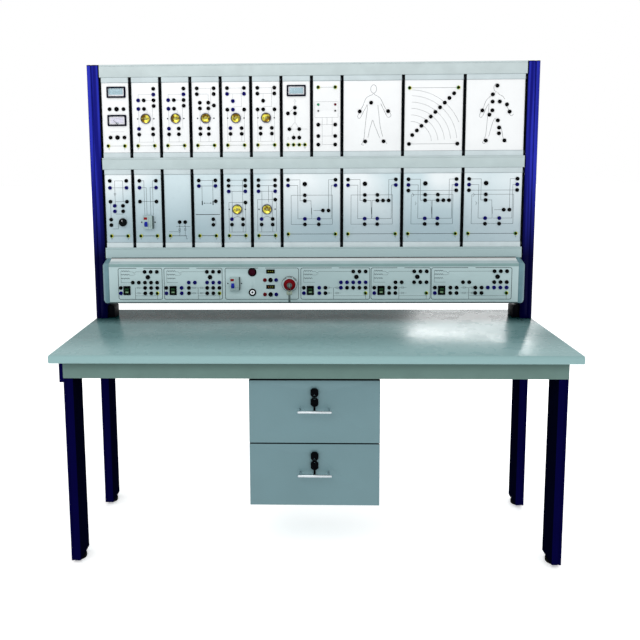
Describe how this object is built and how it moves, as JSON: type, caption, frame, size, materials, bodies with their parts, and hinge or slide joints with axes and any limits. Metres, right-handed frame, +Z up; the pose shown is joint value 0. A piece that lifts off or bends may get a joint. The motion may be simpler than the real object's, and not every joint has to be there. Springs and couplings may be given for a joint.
{
  "type": "electrical safety trainer",
  "caption": "Classroom bench with a worktop, a two-drawer cabinet, a power console and two rows of socket modules between uprights.",
  "frame": {"origin": "on the floor under the middle of the worktop", "axes": "+X to the right and +Y to the back as seen by the learner in front, +Z up"},
  "size_m": [1.75, 0.65, 1.756],
  "materials": {
    "worktop_laminate": "matt laminate on board",
    "apron_grey": "satin",
    "leg_blue": "satin powder coat",
    "side_rail_blue": "satin powder coat",
    "foot_black": "matt",
    "upright_blue": "satin powder coat",
    "cap_black": "matt",
    "bracket_black": "satin",
    "rail_grey": "satin",
    "module_black": "satin",
    "grip_aluminium": "brushed",
    "panel_white": "satin print",
    "panel_silver": "satin print",
    "socket_black": "gloss",
    "socket_blue": "gloss",
    "socket_red": "gloss",
    "socket_earth": "gloss, green and yellow",
    "lamp_bezel_metal": "polished",
    "lamp_gold": "polished",
    "lamp_glass": "gloss",
    "meter_dark": "satin",
    "pane_clear": "gloss",
    "needle_black": "painted matt",
    "knob_black": "satin",
    "button_black": "satin",
    "breaker_white": "matt",
    "toggle_blue": "satin",
    "console_grey": "satin",
    "console_face_grey": "satin print",
    "console_cap_teal": "satin",
    "bezel_black": "satin",
    "rocker_black": "gloss",
    "stop_red": "satin",
    "button_dark_red": "gloss",
    "switch_silver": "polished",
    "key_metal": "satin",
    "inlet_black": "satin",
    "cabinet_board": "melamine faced",
    "drawer_teal": "melamine faced",
    "drawer_board": "melamine faced",
    "runner_steel": "zinc plated",
    "handle_metal": "satin",
    "key_black": "satin"
  },
  "bodies": {
    "bench": {"worktop": "worktop_laminate", "aprons": "apron_grey", "side_rails": "side_rail_blue", "legs": "leg_blue", "uprights": "upright_blue", "upright_caps": "cap_black", "rack_brackets": "bracket_black", "header_rail": "rail_grey", "middle_rail": "rail_grey", "lower_rail": "rail_grey", "module_boxes": "module_black", "module_grips": "grip_aluminium", "upper_panels": "panel_white", "lower_panels": "panel_silver", "black_sockets": "socket_black", "blue_sockets": "socket_blue", "red_sockets": "socket_red", "earth_sockets": "socket_earth", "lamp_bezels": "lamp_bezel_metal", "lamp_reflectors": "lamp_gold", "lamp_bulbs": "lamp_glass", "meter_cases": "meter_dark", "display_windows": "pane_clear", "breaker_bodies": "breaker_white", "console_housing": "console_grey", "console_end_caps": "console_cap_teal", "console_panel": "console_face_grey", "control_bezels": "bezel_black", "mains_inlet": "inlet_black", "cabinet_carcass": "cabinet_board", "drawer_runners": "runner_steel"},
    "upper_drawer": {"upper_drawer_front": "drawer_teal", "upper_drawer_box": "drawer_board", "upper_drawer_handle": "handle_metal"},
    "upper_lock": {"upper_lock_key": "key_black"},
    "upper_hanging_key": {"upper_spare_key": "key_black"},
    "lower_drawer": {"lower_drawer_front": "drawer_teal", "lower_drawer_box": "drawer_board", "lower_drawer_handle": "handle_metal"},
    "lower_lock": {"lower_lock_key": "key_black"},
    "lower_hanging_key": {"lower_spare_key": "key_black"},
    "stop": {"stop_button": "stop_red"},
    "stop_hanging_key": {"emergency_key": "key_metal"},
    "lit_button": {"push_button": "button_dark_red"},
    "key_barrel": {"key_switch": "switch_silver"},
    "rocker_1_body": {"rocker_1": "rocker_black"},
    "rocker_2_body": {"rocker_2": "rocker_black"},
    "rocker_3_body": {"rocker_3": "rocker_black"},
    "rocker_4_body": {"rocker_4": "rocker_black"},
    "rocker_5_body": {"rocker_5": "rocker_black"},
    "knob": {"rotary_knob": "knob_black"},
    "needle": {"meter_needle": "needle_black"},
    "left_test": {"left_test_button": "button_black"},
    "right_test": {"right_test_button": "button_black"},
    "module_toggle": {"module_breaker_toggle": "toggle_blue"},
    "console_toggle": {"console_breaker_toggle": "toggle_blue"},
    "left_front_foot_screw": {"left_front_foot": "foot_black"},
    "left_rear_foot_screw": {"left_rear_foot": "foot_black"},
    "right_front_foot_screw": {"right_front_foot": "foot_black"},
    "right_rear_foot_screw": {"right_rear_foot": "foot_black"}
  },
  "joints": [
    {"name": "upper_drawer_slide", "type": "slide", "parent": "bench", "child": "upper_drawer", "axis": [0, -1, 0], "range_m": [0, 0.3]},
    {"name": "upper_lock_turn", "type": "hinge", "parent": "upper_drawer", "child": "upper_lock", "pos_m": [0.003, -0.28, 0.613], "axis": [0, 1, 0], "range_deg": [0, 90]},
    {"name": "upper_key_swing", "type": "hinge", "parent": "upper_lock", "child": "upper_hanging_key", "pos_m": [0.003, -0.2865, 0.6033], "axis": [0, 1, 0], "range_deg": [-18, 18]},
    {"name": "lower_drawer_slide", "type": "slide", "parent": "bench", "child": "lower_drawer", "axis": [0, -1, 0], "range_m": [0, 0.3]},
    {"name": "lower_lock_turn", "type": "hinge", "parent": "lower_drawer", "child": "lower_lock", "pos_m": [0.003, -0.28, 0.391], "axis": [0, 1, 0], "range_deg": [0, 90]},
    {"name": "lower_key_swing", "type": "hinge", "parent": "lower_lock", "child": "lower_hanging_key", "pos_m": [0.003, -0.2865, 0.3813], "axis": [0, 1, 0], "range_deg": [-18, 18]},
    {"name": "stop_push", "type": "slide", "parent": "bench", "child": "stop", "axis": [0, 1, 0], "range_m": [0, 0.006]},
    {"name": "stop_key_swing", "type": "hinge", "parent": "stop", "child": "stop_hanging_key", "pos_m": [-0.08833, 0.0847, 0.895], "axis": [0, 1, 0], "range_deg": [-15, 15]},
    {"name": "lit_button_push", "type": "slide", "parent": "bench", "child": "lit_button", "axis": [0, 1, 0], "range_m": [0, 0.003], "stiffness_N_per_m": 300},
    {"name": "key_switch_turn", "type": "hinge", "parent": "bench", "child": "key_barrel", "pos_m": [-0.23499, 0.129, 0.866], "axis": [0, 1, 0], "range_deg": [0, 90]},
    {"name": "rocker_1_tip", "type": "hinge", "parent": "bench", "child": "rocker_1_body", "pos_m": [-0.73306, 0.129, 0.87375], "axis": [1, 0, 0], "range_deg": [-16, 0]},
    {"name": "rocker_2_tip", "type": "hinge", "parent": "bench", "child": "rocker_2_body", "pos_m": [-0.54937, 0.129, 0.87375], "axis": [1, 0, 0], "range_deg": [-16, 0]},
    {"name": "rocker_3_tip", "type": "hinge", "parent": "bench", "child": "rocker_3_body", "pos_m": [-0.00702, 0.129, 0.87375], "axis": [1, 0, 0], "range_deg": [-16, 0]},
    {"name": "rocker_4_tip", "type": "hinge", "parent": "bench", "child": "rocker_4_body", "pos_m": [0.27033, 0.129, 0.87375], "axis": [1, 0, 0], "range_deg": [-16, 0]},
    {"name": "rocker_5_tip", "type": "hinge", "parent": "bench", "child": "rocker_5_body", "pos_m": [0.50629, 0.129, 0.87375], "axis": [1, 0, 0], "range_deg": [-16, 0]},
    {"name": "knob_turn", "type": "hinge", "parent": "bench", "child": "knob", "pos_m": [-0.7527, 0.176, 1.141], "axis": [0, 1, 0], "range_deg": [-150, 150]},
    {"name": "needle_swing", "type": "hinge", "parent": "bench", "child": "needle", "pos_m": [-0.762, 0.174, 1.5287], "axis": [0, 1, 0], "range_deg": [0, 90], "stiffness_Nm_per_rad": 0.00005},
    {"name": "left_test_push", "type": "slide", "parent": "bench", "child": "left_test", "axis": [0, 1, 0], "range_m": [0, 0.0015], "stiffness_N_per_m": 200},
    {"name": "right_test_push", "type": "slide", "parent": "bench", "child": "right_test", "axis": [0, 1, 0], "range_m": [0, 0.0015], "stiffness_N_per_m": 200},
    {"name": "module_breaker_flip", "type": "hinge", "parent": "bench", "child": "module_toggle", "pos_m": [-0.657, 0.167, 1.141], "axis": [1, 0, 0], "range_deg": [-56, 0]},
    {"name": "console_breaker_flip", "type": "hinge", "parent": "bench", "child": "console_toggle", "pos_m": [-0.311, 0.12, 0.902], "axis": [1, 0, 0], "range_deg": [-56, 0]},
    {"name": "left_front_foot_turn", "type": "hinge", "parent": "bench", "child": "left_front_foot_screw", "pos_m": [-0.822, -0.25, 0.006], "axis": [0, 0, 1], "continuous": true},
    {"name": "left_rear_foot_turn", "type": "hinge", "parent": "bench", "child": "left_rear_foot_screw", "pos_m": [-0.822, 0.128, 0.006], "axis": [0, 0, 1], "continuous": true},
    {"name": "right_front_foot_turn", "type": "hinge", "parent": "bench", "child": "right_front_foot_screw", "pos_m": [0.822, -0.25, 0.006], "axis": [0, 0, 1], "continuous": true},
    {"name": "right_rear_foot_turn", "type": "hinge", "parent": "bench", "child": "right_rear_foot_screw", "pos_m": [0.822, 0.128, 0.006], "axis": [0, 0, 1], "continuous": true}
  ]
}
